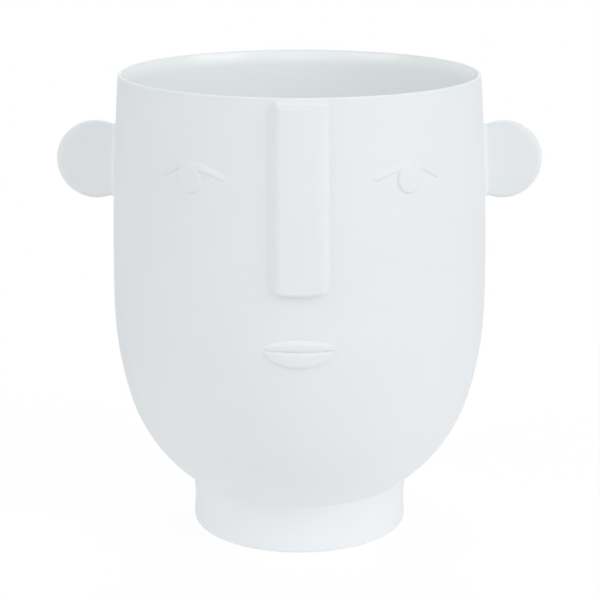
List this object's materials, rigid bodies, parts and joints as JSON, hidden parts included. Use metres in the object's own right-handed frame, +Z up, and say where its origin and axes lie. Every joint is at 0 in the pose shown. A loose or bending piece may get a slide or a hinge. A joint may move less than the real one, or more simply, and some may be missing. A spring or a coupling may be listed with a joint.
{
  "type": "face vase",
  "caption": "Deep round porcelain vase on a foot ring, with a bar nose from the rim, hooded eyes, a closed mouth and flat round ears; matte outside, glazed inside.",
  "frame": {"origin": "centre of the foot's underside, on the surface that the vase stands on", "axes": "+Z up along the bowl's axis; the face looks towards -Y; +X is the viewer's right, through one ear"},
  "size_m": [0.1872, 0.1478, 0.18],
  "materials": {
    "bisque_porcelain": "matte, unglazed, sanded smooth",
    "clear_glaze": "glossy clear glaze over white porcelain"
  },
  "bodies": {
    "root": {"vase_body": "bisque_porcelain", "inner_glaze": "clear_glaze", "foot_ring": "bisque_porcelain", "nose": "bisque_porcelain", "right_ear": "bisque_porcelain", "left_ear": "bisque_porcelain", "right_eyelid": "bisque_porcelain", "left_eyelid": "bisque_porcelain", "right_iris": "bisque_porcelain", "left_iris": "bisque_porcelain", "upper_lip": "bisque_porcelain", "lower_lip": "bisque_porcelain"}
  },
  "joints": []
}
